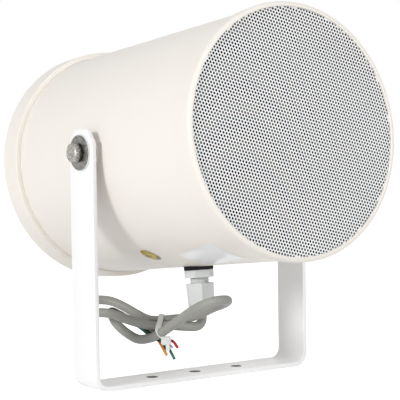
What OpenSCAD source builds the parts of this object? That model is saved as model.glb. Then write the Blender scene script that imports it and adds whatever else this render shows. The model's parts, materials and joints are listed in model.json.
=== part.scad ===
// Projection speaker: a round loudspeaker barrel that tilts in a U-shaped strap bracket

/* [Housing] */
// Outside radius of the barrel
barrel_r = 87.2; // [84:0.1:90]
// Wall of the barrel
barrel_wall = 3.5; // [2.5:0.1:4]
// Outside radius of the front rim
rim_r = 89; // [88:0.1:90.5]
// Length over which the barrel swells into the rim
flare_len = 29; // [15:1:40]
// Width of the flat lip round the grille
lip_w = 3.5; // [3:0.1:4.5]
// Rounding of the rim's outer edge
lip_round = 2.4; // [1:0.1:2.8]
// From the pivot to the front rim
front_reach = 127; // [115:1:145]
// From the pivot to the back of the rear cap
rear_reach = 132; // [125:1:145]
// Upward tilt of the barrel at rest
rest_tilt = 6; // [0:1:10]

/* [Rear cap] */
// Outside radius of the rear cap
cap_r = 91; // [90.6:0.1:92]
// Length of the rear cap
cap_len = 23.5; // [18:0.5:30]
// Back panel of the rear cap
cap_back = 4; // [3:0.5:6]
// Rounding of the rear cap's back edge
cap_round = 4; // [2:0.5:6]
// Thickness of the sealing ring inside the cap
cap_seal = 1.5; // [1:0.1:2.5]
// Radius of the cap screws
cap_screw_r = 1.75; // [1.5:0.05:2]

/* [Grille] */
// Sheet thickness of the grille
grille_t = 1; // [0.8:0.1:1.5]
// Depth of the grille below the rim
grille_recess = 0.7; // [0.4:0.1:1.5]
// Distance between hole centres
hole_pitch = 7.5; // [7.5:0.5:12]
// Radius of a hole
hole_r = 2.25; // [1.5:0.05:2.5]
// Turn of the rows of holes
hole_turn = -14.5; // [-30:0.5:30]
// Thickness of the dust screen behind the grille
screen_t = 2; // [1:0.5:3]

/* [Bracket] */
// Width of the strap
strap_w = 32; // [28:1:36]
// Thickness of the strap
strap_t = 3.5; // [3:0.1:4.5]
// Clear width between the arms
bracket_gap = 185; // [185:1:195]
// Height of the pivot over the base
pivot_h = 170.5; // [168:0.5:190]
// Outside radius of the two bends
bend_r = 11; // [8:0.5:16]
// Radius of the three fixing holes
base_hole_r = 4.5; // [3:0.1:6]
// Distance between the fixing holes
base_hole_pitch = 38.5; // [20:0.5:60]

/* [Pivot hardware] */
// Radius of the pivot bolts
bolt_r = 4; // [3:0.1:5]
// Width across the flats of the bolt head
bolt_flats = 13; // [12:0.5:16]
// Height of the bolt head
bolt_head = 5.3; // [4:0.1:7]
// Radius of the steel washers
washer_r = 12.5; // [10:0.1:14]
// Thickness of the steel washers
washer_t = 1.6; // [1:0.1:3]
// Radius of the plastic washers
liner_r = 13; // [12:0.1:15]
// Thickness of the plastic washers
liner_t = 1.2; // [0.8:0.1:2]
// Thickness of the spring washers
lock_t = 2.1; // [1.5:0.1:3]
// Radius of the spacers between arm and barrel
spacer_r = 12; // [10:0.1:14]
// Radius of the brass inserts
insert_r = 6; // [5.5:0.1:7]
// Length of the brass inserts
insert_len = 14; // [10:0.5:16]

/* [Cable gland] */
// Station of the gland behind the pivot
gland_back = 2.5; // [0:0.5:10]
// Radius of the gland's thread
gland_thread_r = 7.6; // [6.5:0.1:8.5]
// Radius of the rubber seal
seal_r = 10.6; // [10:0.1:12]
// Thickness of the rubber seal
seal_t = 2.2; // [1.5:0.1:3]
// Width across the flats of the gland body
body_flats = 18.8; // [18:0.1:21]
// Height of the gland body's hexagon
body_h = 5.8; // [4:0.1:8]
// Thread left open between body and nut
thread_open = 4.1; // [1:0.1:6]
// Width across the flats of the dome nut
nut_flats = 18.2; // [17.6:0.1:20]
// Length of the dome nut's hexagon
nut_hex = 13; // [9:0.5:16]
// Length of the dome nut's rounded end
nut_dome = 7.3; // [5:0.1:10]

/* [Loudspeaker] */
// Depth of the baffle behind the rim
baffle_depth = 15; // [14:0.5:20]
// Thickness of the baffle
baffle_t = 5; // [4:0.5:7]
// Radius of the loudspeaker's flange
flange_r = 81.7; // [78:0.1:82]
// Radius of the opening in the baffle
cutout_r = 74; // [72:0.5:75]
// Sheet thickness of the chassis
chassis_t = 1.2; // [1:0.1:1.6]
// Depth of the chassis from flange to magnet
chassis_depth = 40; // [36:0.5:46]
// Radius of the magnet
magnet_r = 42; // [38:0.5:48]
// Thickness of the magnet
magnet_t = 15; // [10:0.5:20]
// Thickness of the iron plates
plate_t = 5; // [4:0.5:7]
// Radius of the pole
pole_r = 12.4; // [11:0.1:13]
// Travel of the cone each way
cone_travel = 3; // [1:0.5:4]

/* [Transformer] */
// Width of the iron core
core_w = 66; // [54:1:72]
// Height of the iron core
core_h = 55; // [55:1:60]
// Stack of the iron core
core_stack = 25; // [18:1:34]

/* [Marks] */
// Length of the wiring label
label_len = 57; // [40:1:70]
// Width of the wiring label
label_w = 28; // [20:1:34]
// Radius of the gold sticker
sticker_r = 8.2; // [6:0.1:10]

/* [Cable] */
// Radius of the cable
cord_r = 3.5; // [3:0.1:3.6]
// Radius of one wire in the cable
core_r = 0.9; // [0.7:0.05:0.95]

/* [Hidden] */
$fn = 72;
eps = 0.5;

// Barrel
inner_r = barrel_r - barrel_wall;
pocket_r = rim_r - lip_w;
grille_gap = 0.5;
grille_r = pocket_r - grille_gap;
screen_z = front_reach - grille_recess - grille_t;
seat_z = screen_z - screen_t;
seat_r = min(inner_r, pocket_r - 2.5);
baffle_z = front_reach - baffle_depth;
barrel_end_z = -rear_reach + cap_back + cap_seal;
pad_proud = 0.8;
pad_x = barrel_r + pad_proud;
pad_r = max(spacer_r, insert_r) + 2;
boss_x = pad_x - insert_len - 3;
pillar_r = 5;
pillar_at = inner_r - pillar_r + 0.8;
pillar_len = 24;
pillar_angles = [45 : 90 : 315];
seam_turn = 20;

// Rear cap
cap_fit = 0.15;
cap_front_z = -rear_reach + cap_len;
cap_inner_z = -rear_reach + cap_back;
cap_dish = 1;
screw_head_r = cap_screw_r * 2;
screw_head_h = 2.2;

// Bracket
arm_in = bracket_gap / 2;
arm_out = arm_in + strap_t;
bolt_clearance = 0.1;

// Pivot stack, from the arm outwards
liner_x = arm_out;
washer_x = liner_x + liner_t;
lock_x = washer_x + washer_t;
head_x = lock_x + lock_t;
spacer_t = arm_in - pad_x;

// Gland, as distances from the barrel's axis
flat_proud = 0.4;
flat_r = barrel_r + flat_proud;
flat_in_r = inner_r - 2.2;
body_at = flat_r + seal_t;
neck_at = body_at + body_h;
nut_at = neck_at + thread_open;
dome_at = nut_at + nut_hex;
nut_end = dome_at + nut_dome;
locknut_h = 5;
thread_end = flat_in_r - locknut_h - 4;
thread_fit = 0.1;
cord_fit = 0.15;
nut_bore_r = gland_thread_r + thread_fit;
body_bore_r = gland_thread_r - 2.4;
body_tip = nut_at + 8;
insert_t = 6;
body_turn = 21;
nut_turn = 7;
nut_taper = 0.96;

// Loudspeaker, as distances from the pivot along the barrel
flange_z = baffle_z + chassis_t;
screw_ring = flange_r - 3.7;
screw_turn = 45;
chassis_screw_r = 2;
surround_r = screw_ring - 2 * chassis_screw_r - 0.3;
mouth_r = min(cutout_r - 1.6, surround_r - 1.3);
plate_z = flange_z - chassis_depth;
ledge_z = plate_z + 12;
iron_z = plate_z - chassis_t;
magnet_z = iron_z - plate_t;
back_z = magnet_z - magnet_t;
former_in = pole_r + 0.4;
former_out = former_in + 0.4;
winding_r = former_out + 0.6;
gap_r = winding_r + 0.4;
winding_len = 9;
winding_z = iron_z - plate_t / 2 - winding_len / 2;
neck_z = ledge_z + 9;
paper_t = 0.9;
cone_r = mouth_r - 9.8;
roll_r = 5.5;
roll_t = 0.7;
roll_at = cone_r + roll_r - 0.6;
roll_lip = 3.2;
ledge_r = 41;
cap_base_r = 17;
cap_sphere = 24;
board_y = -ledge_r - 1.2;
board_t = 1.6;
board_low = iron_z + 2;

// Transformer, standing on the cap's back panel
foot_z = cap_inner_z + 3;
core_leg = core_w / 6;
frame_t = 1.2;
foot_len = 10;
foot_x = core_w / 2 + frame_t + foot_len / 2;
window_z = foot_z + core_leg;
window_h = core_h - 2 * core_leg;
flange_t = 1;
coil_fit = 0.3;
coil_y = core_stack / 2 + core_leg - 0.5;
leg_hole = [2 * core_leg + 0.4, core_stack + 0.4];
tube_hole = leg_hole + [1.6, 1.6];

// Marks on the barrel, by their station and their angle from the bottom
mark_t = 0.15;
label_at = 62;
label_angle = 22.5;
label_turn = 13;
sticker_at = -2;
sticker_angle = 28.9;

// Cable route, chosen by hand
cord_route = [[0, -10, 53], [0, -10, 49], [0, -11, 45], [-3, -13, 41],
    [-8, -13, 38], [-14, -11, 38]];
front_loop = [[-13, -14, 48], [-14, -36, 54], [-15, -59, 62], [-20, -70, 65],
    [-30, -71, 65], [-36, -60, 61], [-37, -38, 51]];
rear_loop = [[-25, 30, 43], [-36, 63, 54], [-45, 70, 55], [-57, 70, 54], [-66, 62, 53],
    [-69, 50, 51], [-46, 24, 45], [-39, 18, 30], [-45, 38, 39]];
// The waist, in a frame whose y axis runs along the cable: strands as [x, z]
waist_at = [-27, 5, 0];
waist_turn = 50;
waist = [[-1, 40], [5.6, 43], [-9.4, 34]];
waist_len = 11;
bundle = [-0.3, 30.8];
bundle_ring = 2.15;
tie_w = 4;
tie_t = 1.2;
tie_head = [4.4, 4.8, 5.5];
core_tips = [[-11, -12, 24], [-15, -4, 26], [-11, -7, 19], [-11, -11, 17], [-9, -15, 26]];
core_bend = [0, -1, -0.5];

// Frame of the barrel: x to the right, y up, z towards the front
module housing() {
    translate([0, 0, pivot_h]) rotate([-rest_tilt, 0, 0]) rotate([90, 0, 0]) children();
}

module spun() {
    housing() rotate_extrude($fn = 144) children();
}

// Frame of the gland: z away from the barrel's axis, downwards
module at_gland() {
    housing() translate([0, 0, -gland_back]) rotate([90, 0, 0]) children();
}

// Frame of one pivot: z outwards, from the middle of the bracket
module at_pivot(side) {
    translate([0, 0, pivot_h]) rotate([0, side * 90, 0]) children();
}

module both_pivots() {
    for (side = [-1, 1]) at_pivot(side) children();
}

module ring(outer, inner, h) {
    difference() {
        cylinder(r = outer, h = h);
        translate([0, 0, -eps]) cylinder(r = inner, h = h + 2 * eps);
    }
}

module hexagon(flats, h) {
    cylinder(r = flats / 2 / cos(30), h = h, $fn = 6);
}

// A tube swept along a smooth curve through the points
function unit(v) = v / norm(v);
function spline(a, b, c, d, t) = 0.5 * (2 * b + (c - a) * t
    + (2 * a - 5 * b + 4 * c - d) * t * t + (3 * b - a - 3 * c + d) * t * t * t);
function knot(p, i) = i < 0 ? 2 * p[0] - p[1]
    : i > len(p) - 1 ? 2 * p[len(p) - 1] - p[len(p) - 2] : p[i];
function smooth(p, steps) = concat([for (i = [0 : len(p) - 2]) for (j = [0 : steps - 1])
    spline(knot(p, i - 1), p[i], p[i + 1], knot(p, i + 2), j / steps)], [p[len(p) - 1]]);
function along(p, i) = unit(p[min(i + 1, len(p) - 1)] - p[max(i - 1, 0)]);
function ring_points(at, dir, r, n, aside) =
    let (u = unit(cross(dir, aside)), v = cross(dir, u))
    [for (k = [0 : n - 1]) at + r * (cos(360 * k / n) * u + sin(360 * k / n) * v)];

module tube(points, r, n, aside) {
    m = len(points);
    rings = [for (i = [0 : m - 1])
        each ring_points(points[i], along(points, i), r, n, aside)];
    walls = [for (i = [0 : m - 2]) for (k = [0 : n - 1])
        let (a = i * n + k, b = i * n + (k + 1) % n)
        each [[a, b, a + n], [b, b + n, a + n]]];
    start = [[for (k = [n - 1 : -1 : 0]) k]];
    end = [[for (k = [0 : n - 1]) (m - 1) * n + k]];
    polyhedron(points = rings, faces = concat(start, walls, end));
}

// Half section of the barrel, with the lip, the seat of the grille and the baffle
module barrel_section() {
    swell = rim_r - barrel_r;
    flare_z = front_reach - flare_len;
    round_z = front_reach - lip_round;
    flare = [for (k = [0 : 10])
        [barrel_r + swell * (1 - cos(18 * k)) / 2, flare_z + (round_z - flare_z) * k / 10]];
    lip = [for (a = [15 : 15 : 90])
        [rim_r - lip_round + lip_round * cos(a), round_z + lip_round * sin(a)]];
    polygon(concat([[barrel_r, barrel_end_z]], flare, lip,
        [[pocket_r, front_reach], [pocket_r, seat_z], [seat_r, seat_z],
        [seat_r, seat_z - 2], [inner_r, seat_z - 3],
        [inner_r, baffle_z], [cutout_r, baffle_z], [cutout_r, baffle_z - baffle_t],
        [inner_r, baffle_z - baffle_t - 4], [inner_r, barrel_end_z]]));
}

module at_pillars() {
    for (a = pillar_angles) rotate([0, 0, a]) translate([pillar_at, 0, 0]) children();
}

module at_chassis_screws() {
    for (a = [0 : 90 : 270]) rotate([0, 0, a + screw_turn])
        translate([screw_ring, 0, 0]) children();
}

module pivot_boss(side) {
    rotate([0, side * 90, 0]) translate([0, 0, boss_x]) cylinder(r = pad_r, h = pad_x - boss_x);
}

module barrel() {
    color("ivory") housing() difference() {
        union() {
            rotate([0, 0, seam_turn]) rotate_extrude($fn = 144) barrel_section();
            for (side = [-1, 1]) pivot_boss(side);
            translate([0, 0, -gland_back]) rotate([90, 0, 0]) translate([0, 0, flat_in_r])
                cylinder(r = seal_r + 1.6, h = flat_r - flat_in_r);
            at_pillars() translate([0, 0, barrel_end_z]) cylinder(r = pillar_r, h = pillar_len);
        }
        for (side = [-1, 1]) rotate([0, side * 90, 0])
            translate([0, 0, pad_x - insert_len]) cylinder(r = insert_r, h = insert_len + eps);
        translate([0, 0, -gland_back]) rotate([90, 0, 0]) translate([0, 0, flat_in_r - eps])
            cylinder(r = gland_thread_r + 0.3, h = flat_r - flat_in_r + 2 * eps);
        at_pillars() translate([0, 0, barrel_end_z - eps])
            cylinder(r = cap_screw_r, h = pillar_len - 6);
        at_chassis_screws() translate([0, 0, baffle_z - baffle_t - 4 - eps])
            cylinder(r = chassis_screw_r, h = baffle_t + 4 + 2 * eps);
    }
}

module cap_section() {
    edge = [for (a = [0 : 15 : 90])
        [cap_r - cap_round + cap_round * cos(a), -rear_reach + cap_round - cap_round * sin(a)]];
    polygon(concat([[cap_r - 0.8, cap_front_z], [cap_r, cap_front_z - 0.8]], edge,
        [[cap_r - 14, -rear_reach], [cap_r - 15, -rear_reach + cap_dish],
        [0, -rear_reach + cap_dish], [0, cap_inner_z],
        [barrel_r + cap_fit, cap_inner_z], [barrel_r + cap_fit, cap_front_z]]));
}

module rear_cap() {
    color("ivory") housing() difference() {
        union() {
            rotate_extrude($fn = 144) cap_section();
            for (side = [-1, 1]) translate([side * foot_x, 0, cap_inner_z - eps])
                cylinder(r = foot_len / 2 - 0.4, h = foot_z - cap_inner_z + eps);
        }
        at_pillars() {
            translate([0, 0, -rear_reach - eps]) cylinder(r = cap_screw_r + 0.25, h = cap_back + 2 * eps);
            translate([0, 0, -rear_reach - eps])
                cylinder(r = screw_head_r + 0.4, h = screw_head_h + 0.3 + eps);
        }
        for (side = [-1, 1]) translate([side * foot_x, 0, cap_inner_z - 1])
            cylinder(r = cap_screw_r, h = foot_z - cap_inner_z + 1 + eps);
    }
}

module cap_seal_ring() {
    color("dimgray") housing() difference() {
        translate([0, 0, cap_inner_z]) ring(barrel_r, inner_r - 0.5, cap_seal);
        at_pillars() translate([0, 0, cap_inner_z - eps]) cylinder(r = pillar_r, h = cap_seal + 2 * eps);
    }
}

// Screw with a round head; its head sits on z = 0 and its shank points down
module screw(r, shank) {
    cylinder(r = 2 * r, h = screw_head_h);
    translate([0, 0, -shank]) cylinder(r = r, h = shank + eps);
}

module cap_screws() {
    color("silver") housing() at_pillars()
        translate([0, 0, -rear_reach + screw_head_h + 0.3]) rotate([180, 0, 0])
        screw(cap_screw_r, pillar_len - 10);
}

module grille() {
    rows = ceil(grille_r / (hole_pitch * sin(60)));
    color("white") housing() translate([0, 0, screen_z]) linear_extrude(grille_t)
        difference() {
            circle(r = grille_r, $fn = 144);
            rotate(hole_turn) for (j = [-rows : rows]) for (i = [-rows - rows : rows + rows]) {
                at = hole_pitch * [i + (j % 2 == 0 ? 0 : 0.5), j * sin(60)];
                if (norm(at) < grille_r - hole_r - 1) translate(at) circle(r = hole_r, $fn = 16);
            }
        }
}

module dust_screen() {
    color("black") housing() translate([0, 0, seat_z]) cylinder(r = grille_r, h = screen_t);
}

module strap_section() {
    difference() {
        strap_outline(arm_out, bend_r, 0);
        strap_outline(arm_in, bend_r - strap_t, strap_t);
    }
}

module strap_outline(half, r, low) {
    top = pivot_h + strap_w;
    translate([-half, low + r]) square([2 * half, top - low - r]);
    translate([-half + r, low]) square([2 * (half - r), top - low]);
    for (side = [-1, 1]) translate([side * (half - r), low + r]) circle(r = r);
}

module bracket() {
    color("whitesmoke") difference() {
        intersection() {
            rotate([90, 0, 0]) translate([0, 0, -strap_w / 2]) linear_extrude(strap_w) strap_section();
            union() {
                translate([-arm_out - eps, -strap_w / 2, -eps])
                    cube([2 * arm_out + 2 * eps, strap_w, pivot_h + eps]);
                translate([-arm_out - eps, 0, pivot_h]) rotate([0, 90, 0])
                    cylinder(r = strap_w / 2, h = 2 * arm_out + 2 * eps);
            }
        }
        translate([-arm_out - eps, 0, pivot_h]) rotate([0, 90, 0])
            cylinder(r = bolt_r + bolt_clearance, h = 2 * arm_out + 2 * eps);
        for (i = [-1 : 1]) translate([i * base_hole_pitch, 0, -eps])
            cylinder(r = base_hole_r, h = strap_t + 2 * eps);
    }
}

module pivot_bolts() {
    tip = pad_x - insert_len + 1;
    color("silver") both_pivots() {
        translate([0, 0, head_x]) intersection() {
            hexagon(bolt_flats, bolt_head);
            union() {
                cylinder(r = bolt_flats / 2 / cos(30) + eps, h = bolt_head - 1);
                translate([0, 0, bolt_head - 1])
                    cylinder(r1 = bolt_flats / 2 / cos(30) + eps, r2 = bolt_flats / 2 - 0.3, h = 1);
            }
        }
        translate([0, 0, tip]) cylinder(r = bolt_r, h = head_x - tip + eps);
    }
}

module spring_washers() {
    color("silver") both_pivots() translate([0, 0, lock_x]) difference() {
        ring(bolt_r * 1.75, bolt_r + bolt_clearance, lock_t);
        rotate([0, 0, 70]) translate([0, -0.6, -eps]) cube([2 * bolt_r, 1.2, lock_t + 2 * eps]);
    }
}

module steel_washers() {
    color("silver") both_pivots() translate([0, 0, washer_x])
        ring(washer_r, bolt_r + bolt_clearance, washer_t);
}

module plastic_washers() {
    color("white") both_pivots() translate([0, 0, liner_x])
        ring(liner_r, bolt_r + bolt_clearance, liner_t);
}

module spacers() {
    color("dimgray") both_pivots() translate([0, 0, pad_x])
        ring(spacer_r, bolt_r + bolt_clearance, spacer_t);
}

module thread_inserts() {
    color("goldenrod") both_pivots() translate([0, 0, pad_x - insert_len])
        ring(insert_r, bolt_r, insert_len);
}

module gland_seal() {
    color("black") at_gland() translate([0, 0, flat_r]) ring(seal_r, gland_thread_r, seal_t);
}

module gland_body() {
    color("lightgray") at_gland() difference() {
        union() {
            translate([0, 0, body_at]) rotate([0, 0, body_turn]) hexagon(body_flats, body_h);
            translate([0, 0, thread_end]) cylinder(r = gland_thread_r, h = body_at - thread_end + eps);
            translate([0, 0, neck_at - eps])
                cylinder(r = gland_thread_r - 0.7, h = body_tip - neck_at + eps);
            for (z = [neck_at + 0.6 : 1.5 : body_tip - 1.2]) translate([0, 0, z]) {
                cylinder(r1 = gland_thread_r - 0.7, r2 = gland_thread_r, h = 0.6);
                translate([0, 0, 0.6]) cylinder(r1 = gland_thread_r, r2 = gland_thread_r - 0.7, h = 0.6);
            }
        }
        translate([0, 0, thread_end - eps]) cylinder(r = body_bore_r, h = body_tip - thread_end + 2 * eps);
    }
}

module gland_locknut() {
    color("lightgray") at_gland() translate([0, 0, flat_in_r - locknut_h]) difference() {
        hexagon(body_flats + 2, locknut_h);
        translate([0, 0, -eps]) cylinder(r = gland_thread_r, h = locknut_h + 2 * eps);
    }
}

module gland_insert() {
    color("dimgray") at_gland() translate([0, 0, body_tip]) difference() {
        cylinder(r1 = gland_thread_r - 0.9, r2 = cord_r + 2, h = insert_t);
        translate([0, 0, -eps]) cylinder(r = cord_r + cord_fit, h = insert_t + 2 * eps);
    }
}

module gland_nut_solid() {
    outer = nut_flats / 2 / cos(30);
    mouth = cord_r + 2;
    dome = [for (a = [0 : 10 : 90])
        [mouth + (outer * nut_taper - mouth) * cos(a), nut_hex + nut_dome * sin(a)]];
    intersection() {
        rotate([0, 0, nut_turn]) hexagon(nut_flats, nut_hex + nut_dome);
        rotate_extrude() polygon(concat([[0, 0], [outer - 0.5, 0], [outer, 1]], dome,
            [[0, nut_hex + nut_dome]]));
    }
}

module gland_nut() {
    color("lightgray") at_gland() difference() {
        translate([0, 0, nut_at]) gland_nut_solid();
        translate([0, 0, nut_at - eps]) cylinder(r = nut_bore_r, h = body_tip - nut_at + 1 + eps);
        translate([0, 0, body_tip + 1]) cylinder(r1 = nut_bore_r, r2 = cord_r + 2.3, h = insert_t - 1);
        translate([0, 0, nut_at]) cylinder(r = cord_r + cord_fit, h = nut_end - nut_at + eps);
    }
}

// Sheet metal or paper of even thickness, from the line of its front face
module sheet(line, shift) {
    n = len(line);
    polygon(concat(line, [for (i = [n - 1 : -1 : 0]) line[i] + shift]));
}

module chassis() {
    line = [[flange_r, flange_z], [mouth_r, flange_z], [mouth_r - 3, flange_z - 12],
        [ledge_r + 9, ledge_z], [ledge_r, ledge_z], [ledge_r - 2, plate_z], [gap_r + 5, plate_z]];
    window_low = ledge_z + 1;
    window_top = baffle_z - baffle_t;
    color("dimgray") difference() {
        spun() sheet(line, [1, -chassis_t]);
        housing() for (a = [0 : 60 : 300]) rotate([0, 0, a])
            translate([ledge_r, -17, window_low]) cube([mouth_r - ledge_r + 3, 34, window_top - window_low]);
        housing() at_chassis_screws() translate([0, 0, baffle_z - eps])
            cylinder(r = chassis_screw_r + 0.2, h = chassis_t + 2 * eps);
    }
}

module chassis_gasket() {
    color("black") housing() difference() {
        translate([0, 0, flange_z]) ring(flange_r + 1, mouth_r + 4, 3);
        at_chassis_screws() translate([0, 0, flange_z - eps])
            cylinder(r = 2 * chassis_screw_r + 0.4, h = 3 + 2 * eps);
    }
}

module chassis_screws() {
    color("silver") housing() at_chassis_screws() translate([0, 0, flange_z])
        screw(chassis_screw_r, chassis_t + baffle_t + 3);
}

module surround() {
    color("black") spun() translate([0, flange_z]) {
        translate([roll_at, 0]) difference() {
            circle(r = roll_r);
            circle(r = roll_r - roll_t);
            translate([-roll_r - 1, -roll_r - 1]) square([2 * roll_r + 2, roll_r + 1]);
        }
        translate([roll_at + roll_r - roll_t, 0])
            square([surround_r - roll_at - roll_r + roll_t, roll_t]);
        translate([roll_at - roll_r - roll_lip + roll_t, 0]) square([roll_lip, roll_t]);
    }
}

module cone() {
    rim = cone_r - 3;
    waist_r = cone_r * 0.56;
    line = [[cone_r, flange_z], [rim, flange_z], [waist_r, flange_z - 10],
        [former_out, neck_z]];
    color("black") spun() sheet(line, [0.4, -paper_t]);
}

module dust_cap() {
    base = sqrt(cap_sphere * cap_sphere - cap_base_r * cap_base_r);
    waist_r = cone_r * 0.56;
    seat = neck_z + (flange_z - 10 - neck_z) * (cap_base_r - former_out) / (waist_r - former_out);
    color("black") spun() translate([0, seat - base]) intersection() {
        difference() {
            circle(r = cap_sphere);
            circle(r = cap_sphere - 0.6);
        }
        translate([0, base]) square([cap_sphere, cap_sphere]);
    }
}

module voice_coil() {
    low = magnet_z - 4;
    color("goldenrod") housing() {
        translate([0, 0, low]) ring(former_out, former_in, neck_z - paper_t - low);
        translate([0, 0, winding_z]) ring(winding_r, former_in, winding_len);
    }
}

module spider() {
    waves = 5;
    inner = former_out;
    outer = ledge_r;
    wave = [for (k = [0 : waves * 4])
        [inner + (outer - inner) * k / (waves * 4), ledge_z + 0.8 + 1.2 * sin(90 * k)]];
    line = concat(wave, [[outer + 1.5, ledge_z + 0.6], [outer + 7, ledge_z + 0.6]]);
    n = len(line);
    color("tan") spun() polygon(concat(line,
        [[outer + 7, ledge_z], [outer + 1.5, ledge_z]],
        [for (i = [n - 3 : -1 : 0]) line[i] - [0, 0.6]]));
}

module top_plate() {
    color("silver") housing() translate([0, 0, magnet_z]) ring(magnet_r - 2, gap_r, plate_t);
}

module magnet() {
    color("darkslategray") housing() translate([0, 0, back_z]) ring(magnet_r, magnet_r * 0.48, magnet_t);
}

module yoke() {
    color("silver") housing() {
        translate([0, 0, back_z - plate_t]) cylinder(r = magnet_r - 2, h = plate_t);
        translate([0, 0, back_z - eps]) cylinder(r = pole_r, h = iron_z - back_z + eps);
    }
}

module terminal_board() {
    color("saddlebrown") housing() difference() {
        translate([-12, board_y - board_t, board_low])
            cube([24, board_t, ledge_z - chassis_t - board_low]);
        for (side = [-1, 1]) translate([side * 7 - 1.5, board_y - board_t - eps, iron_z + 4])
            cube([3, board_t + 2 * eps, 0.8]);
    }
}

module terminal_tags() {
    color("gold") housing() for (side = [-1, 1])
        translate([side * 7 - 1.5, board_y - board_t - 6, iron_z + 4]) cube([3, board_t + 6, 0.8]);
}

module transformer_core() {
    color("slategray") housing() difference() {
        translate([-core_w / 2, -core_stack / 2, foot_z]) cube([core_w, core_stack, core_h]);
        for (side = [-1, 1]) translate([side * 1.5 * core_leg - core_leg / 2, -core_stack / 2 - eps, window_z])
            cube([core_leg, core_stack + 2 * eps, window_h]);
    }
}

// Rounded block with a rectangular hole for the middle leg of the core
module coil_block(x, y, z, h, hole) {
    difference() {
        translate([0, 0, z]) linear_extrude(h) {
            square([2 * x, 2 * y - 4], center = true);
            square([2 * x - 4, 2 * y], center = true);
            for (sx = [-1, 1]) for (sy = [-1, 1]) translate([sx * (x - 2), sy * (y - 2)]) circle(r = 2);
        }
        translate([0, 0, z + h / 2]) cube([hole[0], hole[1], h + 1], center = true);
    }
}

module transformer_bobbin() {
    x = 2 * core_leg - coil_fit;
    low = window_z + coil_fit;
    h = window_h - 2 * coil_fit;
    color("white") housing() {
        coil_block(x, coil_y, low, flange_t, leg_hole);
        coil_block(x, coil_y, low + h - flange_t, flange_t, leg_hole);
        coil_block(tube_hole[0] / 2, tube_hole[1] / 2, low, h, leg_hole);
    }
}

module transformer_winding() {
    color("peru") housing() coil_block(2 * core_leg - coil_fit - 0.7, coil_y - 1,
        window_z + coil_fit + flange_t, window_h - 2 * coil_fit - 2 * flange_t, tube_hole);
}

module transformer_frame() {
    half = core_w / 2;
    width = core_stack - 4;
    color("silver") housing() difference() {
        translate([0, width / 2, 0]) rotate([90, 0, 0]) linear_extrude(width) {
            translate([-half - frame_t, foot_z + core_h]) square([core_w + 2 * frame_t, frame_t]);
            for (side = [-1, 1]) {
                translate([side * (half + frame_t / 2) - frame_t / 2, foot_z])
                    square([frame_t, core_h + frame_t]);
                translate([side * (foot_x - frame_t / 2) - (foot_len + frame_t) / 2, foot_z])
                    square([foot_len + frame_t, frame_t]);
            }
        }
        for (side = [-1, 1]) translate([side * foot_x, 0, foot_z - eps])
            cylinder(r = cap_screw_r + 0.25, h = frame_t + 2 * eps);
    }
}

module transformer_screws() {
    color("silver") housing() for (side = [-1, 1]) translate([side * foot_x, 0, foot_z + frame_t])
        screw(cap_screw_r, foot_z + frame_t - cap_inner_z);
}

module inner_cable() {
    from = [0, -thread_end, -gland_back];
    to = [-4, -coil_y - 2.3, window_z + window_h / 2];
    route = [from + [0, -3, 0], from + [0, 4, -1], from + [-1, 12, -9], (from + to) / 2 + [-2, 4, 0],
        to + [0, -1, 9], to];
    color("gray") housing() tube(smooth(route, 3), 2.2, 8, [1, 0, 0]);
}

module speaker_leads() {
    color("firebrick") housing() for (side = [-1, 1]) {
        from = [side * 7, board_y - board_t - 7, iron_z + 3.4];
        to = [side * 9, -coil_y - 0.2, window_z + window_h / 2 + side * 4];
        route = [from, from + [0, -1, -12], from + [side * 3, -3, -50], to + [side * 2, -16, 22],
            to + [0, -8, 3], to];
        tube(smooth(route, 4), 0.9, 8, [1, 0, 0]);
    }
}

// A thin patch on the barrel's skin, of the given outline
module patch(at, angle, z_span) {
    color("gold") housing() intersection() {
        translate([0, 0, at - z_span]) ring(barrel_r + mark_t, barrel_r, 2 * z_span);
        rotate([0, 0, -angle]) translate([0, 0, at]) rotate([90, 0, 0])
            translate([0, 0, barrel_r * 0.8]) linear_extrude(barrel_r * 0.3) children();
    }
}

module wiring_label() {
    color("white") patch(label_at, label_angle, label_len)
        rotate(label_turn) square([label_w, label_len], center = true);
}

module gold_sticker() {
    patch(sticker_at, sticker_angle, 2 * sticker_r) circle(r = sticker_r);
}

module cord() {
    color("darkgray") tube(smooth(cord_route, 3), cord_r, 12, [0.2, 1, 0.1]);
}

module strand_ends(points) {
    for (p = points) translate(p) sphere(r = cord_r, $fn = 14);
}

module at_waist() {
    translate(waist_at) rotate([0, 0, waist_turn]) children();
}

// A run of the waist's strands, from y = at over the given length
module waist_run(strands, r, at, length) {
    for (p = strands) translate([p[0], at + length, p[1]]) rotate([90, 0, 0])
        cylinder(r = r, h = length, $fn = 20);
}

module cord_hank() {
    half = waist_len / 2;
    color("darkgray") {
        at_waist() hull() waist_run(waist, cord_r, -half, waist_len);
        hull() {
            strand_ends(front_loop);
            at_waist() waist_run(waist, cord_r, -half, 1);
        }
        hull() {
            strand_ends(rear_loop);
            at_waist() waist_run(waist, cord_r, half - 1, 1);
        }
    }
}

module cord_cores() {
    tints = ["white", "black", "orange", "green", "red"];
    n = len(core_tips);
    for (i = [0 : n - 1]) {
        a = 90 + i * 360 / n;
        at = bundle + bundle_ring * [cos(a), sin(a)];
        bend = [at[0], -2.5, at[1]];
        points = [[at[0], 4, at[1]], bend, 0.55 * bend + 0.45 * core_tips[i] + core_bend, core_tips[i]];
        color(tints[i]) at_waist() tube(smooth(points, 3), core_r, 8, [0, 0, 1]);
    }
}

module tie_loop(grow, width) {
    hull() {
        waist_run(waist, cord_r + grow, -width / 2, width);
        waist_run([bundle], bundle_ring + core_r + grow, -width / 2, width);
    }
}

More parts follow.
